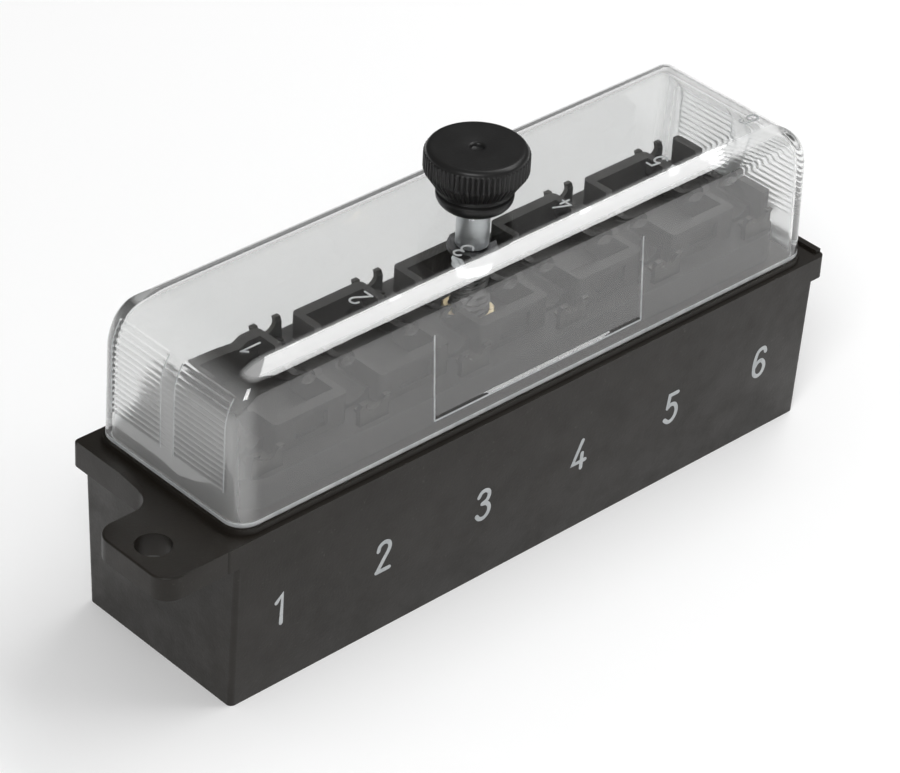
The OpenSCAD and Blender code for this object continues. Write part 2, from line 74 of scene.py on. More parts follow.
def add_mesh(name, verts, faces, sharp=35):
    """A mesh object from points in millimetres, with smooth shading up to the sharp angle."""
    mesh = bpy.data.meshes.new(name)
    mesh.from_pydata([(x * MM, y * MM, z * MM) for x, y, z in verts], [], faces)
    bm = bmesh.new()
    bm.from_mesh(mesh)
    bmesh.ops.remove_doubles(bm, verts=bm.verts, dist=1e-7)
    bmesh.ops.recalc_face_normals(bm, faces=bm.faces)
    bm.to_mesh(mesh)
    bm.free()
    mesh.shade_smooth()
    mesh.set_sharp_from_angle(angle=math.radians(sharp))
    obj = bpy.data.objects.new(name, mesh)
    scene.collection.objects.link(obj)
    return obj


def finish_piece(obj, body, slot, material, *stands_for):
    """Gives a piece its body and its material, and hides the CAD nodes it stands for. The slot is not used."""
    obj.data.materials.clear()
    obj.data.materials.append(material)
    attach(obj, body)
    if stands_for:
        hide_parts(*stands_for)
    return obj


def lathe(rings, count, radius):
    """Points and faces of a turned form. Each ring is (r, z, weight), and radius gives r at an angle."""
    verts, faces = [], []
    for r, z, weight in rings:
        for j in range(count):
            a = 2 * math.pi * j / count
            rr = radius(r, z, weight, a)
            verts.append((rr * math.cos(a), rr * math.sin(a), z))
    for i in range(len(rings) - 1):
        for j in range(count):
            k = (j + 1) % count
            faces.append((i * count + j, i * count + k, (i + 1) * count + k, (i + 1) * count + j))
    faces.append(tuple(range(count - 1, -1, -1)))
    last = (len(rings) - 1) * count
    faces.append(tuple(last + j for j in range(count)))
    return verts, faces


# Materials

NOISE_LOW, NOISE_HIGH = 0.3, 0.7


class Shade:
    """A node material under construction."""

    def __init__(self, name):
        self.material = bpy.data.materials.new(name)
        self.material.use_nodes = True
        self.tree = self.material.node_tree
        self.tree.nodes.clear()
        self.output = self.add("ShaderNodeOutputMaterial")
        self.coords = self.add("ShaderNodeTexCoord").outputs["Object"]

    def add(self, kind, inputs=None, **settings):
        node = self.tree.nodes.new(kind)
        for key, value in settings.items():
            setattr(node, key, value)
        for key, value in (inputs or {}).items():
            if isinstance(value, bpy.types.NodeSocket):
                self.tree.links.new(value, node.inputs[key])
            else:
                node.inputs[key].default_value = value
        return node

    def noise(self, scale, detail=3.0, rough=0.5, stretch=None):
        coords = self.coords
        if stretch:
            coords = self.add("ShaderNodeMapping", {"Vector": coords, "Scale": stretch}).outputs["Vector"]
        inputs = {"Vector": coords, "Scale": scale, "Detail": detail, "Roughness": rough}
        return self.add("ShaderNodeTexNoise", inputs).outputs["Fac"]

    def ramp(self, fac, *stops):
        """Colour by a value, from stops of (value, colour)."""
        node = self.add("ShaderNodeValToRGB", {"Fac": fac})
        elements = node.color_ramp.elements
        while len(elements) < len(stops):
            elements.new(0.5)
        for element, (place, colour) in zip(elements, stops):
            element.position = place
            element.color = (*colour, 1)
        return node.outputs["Color"]

    def cloudy(self, fac, low, high):
        """Colour between two tones by a noise."""
        return self.ramp(fac, (NOISE_LOW, low), (NOISE_HIGH, high))

    def span(self, fac, low, high):
        """Value between two limits by a noise."""
        inputs = {"Value": fac, "From Min": NOISE_LOW, "From Max": NOISE_HIGH, "To Min": low, "To Max": high}
        return self.add("ShaderNodeMapRange", inputs).outputs["Result"]

    def maths(self, kind, a, b):
        return self.add("ShaderNodeMath", {0: a, 1: b}, operation=kind).outputs[0]

    def mix(self, fac, a, b):
        node = self.add("ShaderNodeMix", {"Factor": fac}, data_type="RGBA")
        for socket, value in ((node.inputs[6], a), (node.inputs[7], b)):
            if isinstance(value, bpy.types.NodeSocket):
                self.tree.links.new(value, socket)
            else:
                socket.default_value = (*value, 1)
        return node.outputs[2]

    def bump(self, height, strength, distance):
        node = self.add("ShaderNodeBump", {"Height": height, "Strength": strength, "Distance": distance})
        return node.outputs["Normal"]

    def principled(self, **inputs):
        names = {key.replace("_", " "): value for key, value in inputs.items()}
        return self.add("ShaderNodeBsdfPrincipled", names)

    def close(self, shader):
        self.tree.links.new(shader, self.output.inputs["Surface"])
        return self.material


DUST_COVER, PAINT_WEAR = 0.22, 0.4
# Painted shade for the low part of a metal: its colour, how fully it covers, and how fast it fades out above
LOW_SHADE, LOW_SHADE_COVER, LOW_SHADE_FADE = (0.022, 0.020, 0.018), 0.95, 0.0008
CLEAR_IOR, COAT_IOR, COAT_ROUGH = 1.2, 1.7, 0.02
INSIDE_DULL, POLISH_GAIN, SCUFFED_MILK = 0.34, 0.21, 0.36
FROST_CLEAR = 0.55


def moulding(name, dark, light, dust, rough, grain, grain_bump, shine):
    """Dark moulded plastic: cloudy colour, fine eroded grain, specks of dust and an uneven satin gloss."""
    s = Shade(name)
    colour = s.cloudy(s.noise(70, 4, 0.6), dark, light)
    specks = s.ramp(s.noise(1400, 2, 0.7), (0.66, (0, 0, 0)), (0.78, (1, 1, 1)))
    colour = s.mix(s.maths("MULTIPLY", specks, DUST_COVER), colour, dust)
    gloss = s.span(s.noise(210, 5, 0.65), *rough)
    normal = s.bump(s.noise(grain, 3, 0.55), grain_bump, 0.0002)
    shader = s.principled(Base_Color=colour, Roughness=gloss, Normal=normal, Specular_IOR_Level=shine)
    return s.close(shader.outputs[0])


def metal(name, base, stain, rough, stretch, bump=0.05, shaded_to=None):
    """Worked metal: fine directional marks, cloudy tarnish and an uneven gloss.

    Up to a given height in metres it is darkened with painted shade.
    """
    s = Shade(name)
    marks = s.noise(900, 4, 0.6, stretch)
    tarnish = s.noise(160, 5, 0.65)
    colour = s.ramp(tarnish, (0.38, base), (0.75, stain))
    # Painted shade: darker below the given height
    if shaded_to:
        up = s.add("ShaderNodeSeparateXYZ", {"Vector": s.coords}).outputs["Z"]
        inputs = {"Value": up, "From Min": shaded_to, "From Max": shaded_to + LOW_SHADE_FADE,
                  "To Min": LOW_SHADE_COVER, "To Max": 0.0}
        colour = s.mix(s.add("ShaderNodeMapRange", inputs).outputs[0], colour, LOW_SHADE)
    gloss = s.span(marks, *rough)
    normal = s.bump(marks, bump, 0.0001)
    shader = s.principled(Base_Color=colour, Roughness=gloss, Normal=normal, Metallic=1.0)
    return s.close(shader.outputs[0])


def clear_plastic(name, polished):
    """Clear moulding: flow waves, milky ends, scuffed long edges and corners.

    It lets the lamps through to what is inside. Only the outer skin is polished, at 1.
    """
    s = Shade(name)
    place = s.add("ShaderNodeSeparateXYZ", {"Vector": s.coords})

    def beyond(value, near, far, most):
        """Rises from 0 to most between two places, in metres from the middle."""
        inputs = {"Value": value, "From Min": near, "From Max": far, "To Min": 0.0, "To Max": most}
        return s.add("ShaderNodeMapRange", inputs).outputs[0]

    def outwards(axis, near, far, most):
        reach = s.add("ShaderNodeMath", {0: place.outputs[axis]}, operation="ABSOLUTE").outputs[0]
        return beyond(reach, near, far, most)

    scuffs = s.span(s.noise(260, 6, 0.7), 0.012, 0.06)
    end_dull = outwards("X", 0.0560, 0.0580, INSIDE_DULL - POLISH_GAIN * polished)
    gloss = s.maths("ADD", scuffs, end_dull)
    walls = s.maths("MAXIMUM", outwards("X", 0.0545, 0.0575, 0.12), outwards("Y", 0.0145, 0.0150, 0.03))
    long_top = outwards("Z", 0.0539, 0.0545, SCUFFED_MILK)
    edges = s.maths("MULTIPLY", outwards("Y", 0.0106, 0.0118, 1.0), long_top)
    rear = beyond(place.outputs["Y"], 0.0118, 0.0138, SCUFFED_MILK)
    corners = s.maths("MULTIPLY", outwards("X", 0.0555, 0.0580, 1.0), rear)
    milk = s.maths("MAXIMUM", walls, s.maths("MAXIMUM", edges, corners))
    clear = s.maths("SUBTRACT", 1.0, milk)
    normal = s.bump(s.noise(45, 2, 0.5), 0.03, 0.0006)
    tint = s.cloudy(s.noise(30, 2, 0.5), (0.915, 0.92, 0.918), (0.935, 0.938, 0.934))
    glass = s.principled(Base_Color=tint, Roughness=gloss, Normal=normal, IOR=CLEAR_IOR, Transmission_Weight=clear)
    glass.inputs["Coat Weight"].default_value = polished
    glass.inputs["Coat IOR"].default_value = COAT_IOR
    glass.inputs["Coat Roughness"].default_value = COAT_ROUGH
    through = s.add("ShaderNodeBsdfTransparent", {"Color": (0.9, 0.91, 0.91, 1)})
    shadow = s.add("ShaderNodeLightPath").outputs["Is Shadow Ray"]
    both = s.add("ShaderNodeMixShader", {0: shadow, 1: glass.outputs[0], 2: through.outputs[0]})
    return s.close(both.outputs[0])


def frosted_edge(name):
    """Dull moulded line in clear plastic, which scatters the light."""
    s = Shade(name)
    tone = s.cloudy(s.noise(400, 3, 0.6), (0.55, 0.57, 0.58), (0.80, 0.81, 0.81))
    normal = s.bump(s.noise(1800, 3, 0.6), 0.1, 0.0001)
    haze = s.principled(Base_Color=tone, Roughness=s.span(s.noise(900), 0.3, 0.5), Normal=normal)
    haze.inputs["Transmission Weight"].default_value = FROST_CLEAR
    return s.close(haze.outputs[0])


def stamped_paint(name):
    """Hot-stamped pale digits, worn through in places."""
    s = Shade(name)
    wear = s.ramp(s.noise(1500, 4, 0.7), (0.56, (0, 0, 0)), (0.7, (1, 1, 1)))
    pale = s.cloudy(s.noise(300, 3, 0.5), (0.36, 0.38, 0.39), (0.46, 0.475, 0.48))
    colour = s.mix(s.maths("MULTIPLY", wear, PAINT_WEAR), pale, (0.12, 0.115, 0.11))
    normal = s.bump(s.noise(2200, 2, 0.5), 0.08, 0.0001)
    gloss = s.span(s.noise(500), 0.45, 0.62)
    return s.close(s.principled(Base_Color=colour, Roughness=gloss, Normal=normal).outputs[0])


BASE = moulding("base_moulding", (0.0102, 0.0082, 0.0060), (0.0148, 0.0122, 0.0096), (0.10, 0.095, 0.085),
                (0.34, 0.48), 2300, 0.10, 0.27)
# Darker copy of the base moulding for the faces under the cover: its darker colour is painted shade
INNER_SHADED = moulding("base_inner_shaded", (0.0080, 0.0068, 0.0056), (0.0115, 0.0100, 0.0084), (0.05, 0.048, 0.044),
                 (0.46, 0.62), 2300, 0.14, 0.35)
KNOB = moulding("knob_moulding", (0.0120, 0.0118, 0.0118), (0.0155, 0.0152, 0.0150), (0.07, 0.07, 0.068),
                (0.28, 0.40), 2600, 0.08, 0.30)
CLEAR = clear_plastic("clear_moulding", 1.0)
CLEAR_INSIDE = clear_plastic("clear_inside", 0.0)
FROST = frosted_edge("frosted_lines")
# The shank is darkened with painted shade below 43.5 mm, low inside the cover
ZINC = metal("zinc_plate", (0.70, 0.72, 0.74), (0.58, 0.60, 0.60), (0.38, 0.52), (0.15, 0.15, 3.0),
             shaded_to=0.0435)
CLIP = metal("spring_steel", (0.10, 0.10, 0.105), (0.06, 0.058, 0.055), (0.30, 0.46), (1.0, 1.0, 0.3))
BRASS = metal("brass", (0.80, 0.68, 0.44), (0.60, 0.48, 0.29), (0.26, 0.42), (0.2, 0.2, 2.5))
TINNED = metal("tinned_strip", (0.060, 0.058, 0.053), (0.030, 0.027, 0.022), (0.34, 0.52), (3.0, 1.0, 0.12))
PAINT = stamped_paint("stamped_digits")


# Clear cover

def edge_step(z, h, r):
    """Inward step of a rounded top edge at height z."""
    up = z - h + r
    return 0.0 if up <= 0 else r - math.sqrt(max(r * r - up * up, 0.0))


HALF_END = [GRIP_MIDDLE / 2, GRIP_MIDDLE / 2 + 0.2, 7.0, FIELD - 0.2, FIELD]
END_STOPS = [-y for y in reversed(HALF_END)] + HALF_END
HALF_PANEL = [7.0, PANEL_W / 2 - PANEL_SLOPE, PANEL_W / 2, 36.0]
PANEL_STOPS = [-x for x in reversed(HALF_PANEL)] + HALF_PANEL
CORNER_STEPS = 10


def cover_ring(l, d, h, corner, edge, end, z, shrink=0.0):
    """One level of the cover: points once round, each with the name of its wall."""
    side = SIDE_DRAFT * z / COVER_H + edge_step(z, h, edge)
    half_l = l / 2 - END_DRAFT * z / COVER_H - edge_step(z, h, end) - shrink
    half_d = d / 2 - side - shrink
    r = max(corner - side - shrink, MIN_CORNER)
    kx, ky = half_l - r, half_d - r
    ring = []

    def corner_points(sx, sy, first):
        for i in range(1, CORNER_STEPS):
            a = math.radians(first + 90 * i / CORNER_STEPS)
            ring.append((sx * kx + r * math.cos(a), sy * ky + r * math.sin(a), z, "corner"))

    scale = ky / FIELD
    ring.extend((half_l, y * scale, z, "end") for y in END_STOPS)
    corner_points(1, 1, 0)
    ring.extend((x, half_d, z, "rear") for x in [kx, 30.0, 10.0, -10.0, -30.0, -kx])
    corner_points(-1, 1, 90)
    ring.extend((-half_l, y * scale, z, "end") for y in reversed(END_STOPS))
    corner_points(-1, -1, 180)
    ring.extend((x, -half_d, z, "front") for x in [-kx] + PANEL_STOPS + [kx])
    corner_points(1, -1, 270)
    return ring


def merged(levels, least=0.04):
    """The levels in order, without those nearer than the least step to the one before."""
    out = []
    for z in sorted(levels):
        if not out or z - out[-1] > least:
            out.append(z)
    return out


def groove(z):
    """Depth of the grip grooves at height z, as a rounded vee."""
    i = round((z - GRIP_START) / GRIP_PITCH)
    if not 0 <= i < GRIP_COUNT:
        return 0.0
    off = abs(z - GRIP_START - i * GRIP_PITCH) / GRIP_HALF
    return GRIP_DEPTH * max(0.0, 1 - off) ** 1.2


def end_scale(ring):
    """What brings a ring's end stops back to their places at the foot."""
    return FIELD / max(abs(y) for _, y, _, wall in ring if wall == "end")


def outer_skin():
    """Rings of the outside from its foot to its flat top, with the grip grooves and the panel pressed in."""
    rounding = [COVER_H - COVER_END * (1 - math.sin(math.radians(4.5 * i))) for i in range(21)]
    rounding += [COVER_H - COVER_EDGE * (1 - math.sin(math.radians(6 * i))) for i in range(16)]
    ribs = [GRIP_START + GRIP_PITCH * (i + s / 10) for i in range(GRIP_COUNT) for s in range(-4, 5)]
    panel = [PANEL_FOOT, PANEL_FOOT + PANEL_SLOPE, PANEL_FOOT + PANEL_H - PANEL_SLOPE, PANEL_FOOT + PANEL_H]
    levels = merged([0.25, 1.5] + panel + [z for z in ribs if z < COVER_H - 1.5] + rounding)
    sizes = (COVER_L, COVER_D, COVER_H, COVER_CORNER, COVER_EDGE, COVER_END)
    rings = [cover_ring(*sizes, 0, 0.25)]
    for z in levels:
        ring = cover_ring(*sizes, z)
        shaped = []
        for x, y, zz, wall in ring:
            if wall == "end" and GRIP_MIDDLE / 2 + 0.05 < abs(y) * end_scale(ring) < FIELD - 0.05:
                slope = max(0.008, math.asin(min(1.0, max(0.0, z - COVER_H + COVER_END) / COVER_END)))
                depth = groove(z)
                x -= math.copysign(depth * math.cos(slope), x)
                zz -= depth * math.sin(slope)
            elif wall == "front" and abs(x) < PANEL_W / 2 - 0.1:
                if PANEL_FOOT + 0.1 < z < PANEL_FOOT + PANEL_H - 0.1:
                    y += PANEL_DEPTH
            shaped.append((x, y, zz, wall))
        rings.append(shaped)
    rings.append(cover_ring(*sizes, COVER_H, FLAT_BORDER))
    return rings


def inner_skin():
    """Rings of the hollow from its foot to its flat top."""
    h, edge, end = COVER_H - COVER_T, COVER_EDGE - COVER_T, COVER_END - COVER_T
    rounding = [h - end * (1 - math.sin(math.radians(6 * i))) for i in range(16)]
    rounding += [h - edge * (1 - math.sin(math.radians(9 * i))) for i in range(11)]
    sizes = (COVER_L - 2 * COVER_T, COVER_D - 2 * COVER_T, h, COVER_CORNER - COVER_T, edge, end)
    rings = [cover_ring(*sizes, 0, -0.2)]
    rings += [cover_ring(*sizes, z) for z in merged([0.2, 6.0, 12.0] + rounding)]
    rings.append(cover_ring(*sizes, h, FLAT_BORDER))
    return rings


def fill_top(bm, ring, hole, up):
    """Flat face between the last ring and the screw hole."""
    pairs = [pair for loop in (ring, hole) for pair in zip(loop, loop[1:] + loop[:1])]
    edges = [bm.edges.get(pair) or bm.edges.new(pair) for pair in pairs]
    bmesh.ops.triangle_fill(bm, use_beauty=True, use_dissolve=False, edges=edges, normal=(0, 0, up))


def build_cover():
    bm = bmesh.new()

    def loops(rings):
        return [[bm.verts.new((x * MM, y * MM, (SEAT_TOP + z) * MM)) for x, y, z, _ in ring] for ring in rings]

    def bridge(a, b):
        n = len(a)
        for j in range(n):
            k = (j + 1) % n
            bm.faces.new((a[j], a[k], b[k], b[j]))

    def circle(r, z):
        count = 48
        turns = [2 * math.pi * j / count for j in range(count)]
        return [bm.verts.new((r * MM * math.cos(a), r * MM * math.sin(a), (SEAT_TOP + z) * MM)) for a in turns]

    outer, inner = loops(outer_skin()), loops(inner_skin())
    for skin in (outer, inner):
        for a, b in zip(skin, skin[1:]):
            bridge(a, b)
    bridge(outer[0], inner[0])
    holes = [circle(HOLE_R + 0.3, COVER_H), circle(HOLE_R, COVER_H - 0.3),
             circle(HOLE_R, COVER_H - COVER_T + 0.2), circle(HOLE_R + 0.2, COVER_H - COVER_T)]
    for a, b in zip(holes, holes[1:]):
        bridge(a, b)
    fill_top(bm, outer[-1], holes[0], 1)
    fill_top(bm, inner[-1], holes[-1], -1)
    inside = {v for ring in inner + [holes[-1]] for v in ring}
    for face in bm.faces:
        face.material_index = int(all(v in inside for v in face.verts))
    bmesh.ops.recalc_face_normals(bm, faces=bm.faces)
    mesh = bpy.data.meshes.new("cover_clear")
    bm.to_mesh(mesh)
    bm.free()
    mesh.shade_smooth()
    mesh.set_sharp_from_angle(angle=math.radians(32))
    obj = bpy.data.objects.new("cover_clear", mesh)
    scene.collection.objects.link(obj)
    layers = [face.material_index for face in mesh.polygons]
    finish_piece(obj, "cover", "clear_moulding", CLEAR, "clear_cover")
    mesh.materials.append(CLEAR_INSIDE)
    mesh.polygons.foreach_set("material_index", layers)
    return obj


def strip_mesh(name, lines, half, proud):
    """Low ribs along lines of (point, outward normal) pairs in the cover's surface."""
    verts, faces = [], []
    for line in lines:
        first = len(verts)
        for i, (point, out) in enumerate(line):
            p, n = Vector(point), Vector(out).normalized()
            ahead = Vector(line[min(i + 1, len(line) - 1)][0]) - Vector(line[max(i - 1, 0)][0])
            side = n.cross(ahead).normalized() * half
            verts += [tuple(p - side - n * LINE_SUNK), tuple(p - side * 0.6 + n * proud),
                      tuple(p + side * 0.6 + n * proud), tuple(p + side - n * LINE_SUNK)]
        for i in range(len(line) - 1):
            a = first + 4 * i
            faces += [(a + j, a + (j + 1) % 4, a + 4 + (j + 1) % 4, a + 4 + j) for j in range(4)]
        last = first + 4 * (len(line) - 1)
        faces += [(first, first + 1, first + 2, first + 3), (last + 3, last + 2, last + 1, last)]
    return add_mesh(name, verts, faces, 25)


def front_point(x, z):
    """Point of the cover's leaning front wall and its outward normal."""
    return (x, -COVER_D / 2 + SIDE_DRAFT * z / COVER_H, SEAT_TOP + z), (0, -1, SIDE_DRAFT / COVER_H)


def end_point(side, y, z):
    """Point of an end wall, which rounds over at its top, and its outward normal."""
    step = END_DRAFT * z / COVER_H + edge_step(z, COVER_H, COVER_END)
    slope = math.asin(max(0.0, z - COVER_H + COVER_END) / COVER_END)
    return (side * (COVER_L / 2 - step), y, SEAT_TOP + z), (side * math.cos(slope), 0, math.sin(slope))


def build_cover_lines():
    """Frosted lines round the front panel, at the cover's foot and beside the grip ribs."""
    half_w, low, high = PANEL_W / 2 + 0.1, PANEL_FOOT - 0.1, PANEL_FOOT + PANEL_H + 0.1
    places = [(-half_w, high), (-half_w, low), (half_w, low), (half_w, high)]
    frame_line = [front_point(x, z) for x, z in places]
    panel = [frame_line[i:i + 2] for i in range(3)]
    finish_piece(strip_mesh("panel_edges", panel, PANEL_LINE, LINE_PROUD), "cover", "clear_moulding", FROST)
    heights = [GRIP_START - 0.6 + (COVER_H - 3.0 - GRIP_START) * i / 16 for i in range(17)]
    ring = cover_ring(COVER_L, COVER_D, COVER_H, COVER_CORNER, COVER_EDGE, COVER_END, FOOT_EDGE)
    middle = Vector((COVER_L / 2 - COVER_CORNER, COVER_D / 2 - COVER_CORNER))
    foot = []
    for x, y, z, _ in ring + ring[:1]:
        out = (x - math.copysign(min(abs(x), middle.x), x), y - math.copysign(min(abs(y), middle.y), y), 0)
        foot.append(((x, y, SEAT_TOP + z), out))
    finish_piece(strip_mesh("foot_edge", [foot], FOOT_EDGE - 0.1, LINE_PROUD), "cover", "clear_moulding", FROST)
    rows = (-FIELD + 0.1, -GRIP_MIDDLE / 2, GRIP_MIDDLE / 2, FIELD - 0.1)
    for side, name in ((-1, "left"), (1, "right")):
        uprights = [[end_point(side, y, z) for z in heights] for y in rows]
        obj = strip_mesh(f"grip_edges_{name}", uprights, GRIP_LINE, LINE_PROUD)
        finish_piece(obj, "cover", "clear_moulding", FROST)


# Thumb screw

def arc(cx, cz, r, first, last, steps):
    """Rounded part of a turned profile, as rings without knurl."""
    out = []
    for i in range(steps + 1):
        a = math.radians(first + (last - first) * i / steps)
        out.append((cx + r * math.cos(a), cz + r * math.sin(a), 0.0))
    return out


def build_knob():
    """Knob as rings of (radius, height above the cover, weight of the knurl), from its socket out and up."""
    rings = [(0.05, 7.0, 0), (5.2, 7.0, 0), (5.2, 3.6, 0), (2.6, 3.6, 0), (2.6, 0.0, 0), (3.9, 0.0, 0)]
    rings += arc(4.0, 2.0, 2.0, -88, 0, 8)
    rings += [(6.0, 2.32, 0), (5.94, 2.4, 0), (5.55, 2.47, 0), (5.5, 2.52, 0), (5.5, 2.78, 0), (5.55, 2.84, 0),
              (5.94, 2.9, 0), (6.0, 2.96, 0), (6.0, 3.5, 0), (6.05, 3.58, 0), (6.35, 3.66, 1)]
    rings += [(6.35 + 1.75 * t, 3.66 + 2.64 * t, 1) for t in (0.25, 0.5, 0.75, 0.95)]
    rings += [(8.1, 6.36, 1), (8.1, 7.6, 1), (8.1, 8.92, 1), (8.06, 9.1, 0.7), (7.92, 9.22, 0.15),
              (7.84, 9.28, 0)]
    rings += arc(7.0, 9.16, 0.84, 12, 88, 8)
    rings += [(6.6, 10.0, 0), (4.0, 9.96, 0), (1.5, 9.96, 0), (1.2, 9.92, 0), (1.08, 9.8, 0), (1.0, 9.5, 0),
              (0.8, 9.4, 0), (0.05, 9.38, 0)]

    def radius(r, z, weight, a):
        if not weight:
            return r
        wave = 0.5 - 0.5 * math.cos(KNURLS * a)
        return r - KNURL_DEPTH * weight * wave ** 1.4

    verts, faces = lathe([(r, z + COVER_TOP, w) for r, z, w in rings], 480, radius)
    obj = add_mesh("knob_turned", verts, faces, 40)
    return finish_piece(obj, "thumb_screw", "knob", KNOB, "thumb_screw_knob")


def build_shank():
    """Shank as rings of (radius, height, weight of the thread): a helix of 1 mm pitch, a groove and a flat head."""
    foot, top = 31.8, 46.2
    rings = [(1.4, foot, 0), (2.1, foot + 0.02, 0)]
    steps = 180
    rings += [(2.95, foot + 0.08 + (top - foot - 0.2) * i / steps, 1) for i in range(steps + 1)]
    rings += [(2.62, top, 0), (2.6, top + 0.1, 0), (2.6, 46.95, 0), (2.55, 47.0, 0), (2.1, 47.02, 0),
              (2.1, 47.98, 0), (2.55, 48.0, 0), (2.6, 48.05, 0), (2.6, 52.0, 0), (2.6, 59.1, 0),
              (5.15, 59.1, 0), (5.2, 59.15, 0), (5.2, 62.45, 0), (5.15, 62.5, 0)]

    def radius(r, z, weight, a):
        if not weight:
            return r
        t = (z - a / (2 * math.pi)) % 1.0
        crest = min(1.0, max(0.0, 1.12 - 2.2 * abs(t - 0.5)))
        return min(2.42 + 0.53 * crest, 2.15 + (z - foot), 2.6 + (top - z) * 0.8)

    verts, faces = lathe(rings, 48, radius)
    obj = add_mesh("shank_threaded", verts, faces, 50)
    return finish_piece(obj, "thumb_screw", "plated_steel", ZINC, "thumb_screw_shank")


# Digits, as strokes in a box one high and half as wide: (smooth, points)

DIGITS = {
    1: [(False, [(0.12, 0.80), (0.32, 1.0), (0.32, 0.0)])],
    2: [(True, [(0.03, 0.76), (0.08, 0.92), (0.24, 1.0), (0.40, 0.94), (0.46, 0.79), (0.41, 0.62),
                (0.28, 0.42), (0.03, 0.01)]),
        (False, [(0.01, 0.0), (0.48, 0.0)])],
    3: [(True, [(0.04, 0.84), (0.13, 0.97), (0.27, 1.0), (0.41, 0.92), (0.44, 0.76), (0.36, 0.61),
                (0.19, 0.55)]),
        (True, [(0.19, 0.55), (0.38, 0.49), (0.48, 0.32), (0.44, 0.12), (0.29, 0.0), (0.12, 0.03),
                (0.01, 0.16)])],
    4: [(False, [(0.33, 1.0), (0.0, 0.24), (0.5, 0.24)]), (False, [(0.36, 0.52), (0.36, 0.0)])],
    5: [(False, [(0.45, 1.0), (0.13, 1.0), (0.08, 0.55)]),
        (True, [(0.08, 0.55), (0.22, 0.63), (0.38, 0.58), (0.47, 0.40), (0.45, 0.18), (0.33, 0.02),
                (0.17, 0.0), (0.01, 0.13)])],
    6: [(True, [(0.45, 0.84), (0.39, 0.97), (0.26, 1.0), (0.12, 0.92), (0.04, 0.70), (0.01, 0.40),
                (0.05, 0.13), (0.20, 0.0), (0.37, 0.05), (0.46, 0.23), (0.43, 0.42), (0.30, 0.55),
                (0.15, 0.52), (0.04, 0.38)])],
}


def smooth_line(points, per=5):
    """Catmull-Rom curve through the points."""
    ends = [(2 * points[0][0] - points[1][0], 2 * points[0][1] - points[1][1])]
    last = [(2 * points[-1][0] - points[-2][0], 2 * points[-1][1] - points[-2][1])]
    p = ends + list(points) + last
    out = []
    for i in range(1, len(p) - 2):
        for s in range(per):
            t = s / per
            out.append(tuple(
                0.5 * (2 * p[i][c] + (p[i + 1][c] - p[i - 1][c]) * t
                       + (2 * p[i - 1][c] - 5 * p[i][c] + 4 * p[i + 1][c] - p[i + 2][c]) * t * t
                       + (3 * p[i][c] - p[i - 1][c] - 3 * p[i + 1][c] + p[i + 2][c]) * t ** 3)
                for c in (0, 1)))
    out.append(points[-1])
    return out


# Section of a stroke: across in half widths, out in thicknesses
SECTION = [(-1.0, 0.0), (-0.96, 0.6), (-0.8, 1.0), (0.0, 1.1), (0.8, 1.0), (0.96, 0.6), (1.0, 0.0),
           (0.9, -1.5), (-0.9, -1.5)]


def stroke(points, half, thick, place):
    """Ribbon with a low crowned section and round ends along a line; place maps (u, v, out) to a point."""
    line = [Vector(p) for p in points]
    spans = []
    for i, p in enumerate(line):
        back = (p - line[i - 1]).normalized() if i else None
        ahead = (line[i + 1] - p).normalized() if i < len(line) - 1 else None
        t = ((back or ahead) + (ahead or back)).normalized()
        n = Vector((-t.y, t.x))
        side = Vector((-(ahead or back).y, (ahead or back).x))
        spans.append((p, n, half * min(1.5, 1 / max(0.3, n.dot(side)))))
    first_t, last_t = (line[0] - line[1]).normalized(), (line[-1] - line[-2]).normalized()
    rounded = [(math.sin(a), math.cos(a)) for a in (math.radians(30), math.radians(60), math.radians(84))]
    head = [(line[0] + first_t * half * s, spans[0][1], half * c) for s, c in reversed(rounded)]
    tail = [(line[-1] + last_t * half * s, spans[-1][1], half * c) for s, c in rounded]
    spans = head + spans + tail
    count = len(SECTION)
    verts = [place(p.x + n.x * w * a, p.y + n.y * w * a, thick * b) for p, n, w in spans for a, b in SECTION]
    faces = []
    for i in range(len(spans) - 1):
        for j in range(count):
            k = (j + 1) % count
            faces.append((i * count + j, i * count + k, (i + 1) * count + k, (i + 1) * count + j))
    faces.append(tuple(range(count)))
    faces.append(tuple((len(spans) - 1) * count + j for j in range(count)))
    return verts, faces


def digit_mesh(name, digit, height, half, thick, place):
    verts, faces = [], []
    for smooth, points in DIGITS[digit]:
        points = [((u - 0.24) * height, (v - 0.5) * height) for u, v in points]
        v, f = stroke(smooth_line(points) if smooth else points, half, thick, place)
        faces += [tuple(i + len(verts) for i in face) for face in f]
        verts += v
    return add_mesh(name, verts, faces, 50)


def front_place(cx, cz):
    """Maps a digit's plane to the leaning front of the skirt."""
    rise = Vector((0, -DRAFT / PLATE_UNDER, 1)).normalized()
    out = Vector((0, -1, -DRAFT / PLATE_UNDER)).normalized()
    origin = Vector((cx, -FOOT_Y - DRAFT * cz / PLATE_UNDER, cz))
    return lambda u, v, w: tuple(origin + Vector((u, 0, 0)) + rise * v + out * w)


def top_place(cx):
    """Maps a digit's plane to the cover's top, so that it reads from the right end."""
    return lambda u, v, w: (cx - v, u - 8.6, COVER_TOP + w)


def build_digits():
    for k in range(1, 7):
        x = (k - 3.5) * BAY_PITCH
        front = front_place(x - 1.0, 14.3)
        obj = digit_mesh(f"front_digit_{k}", k, FRONT_DIGIT, FRONT_STROKE, FRONT_THICK, front)
        finish_piece(obj, "base", "base_moulding", PAINT)
        top = digit_mesh(f"cover_digit_{k}", k, TOP_DIGIT, TOP_STROKE, TOP_THICK, top_place(x))
        finish_piece(top, "cover", "clear_moulding", FROST)


# Base with its edges broken and its beads run out

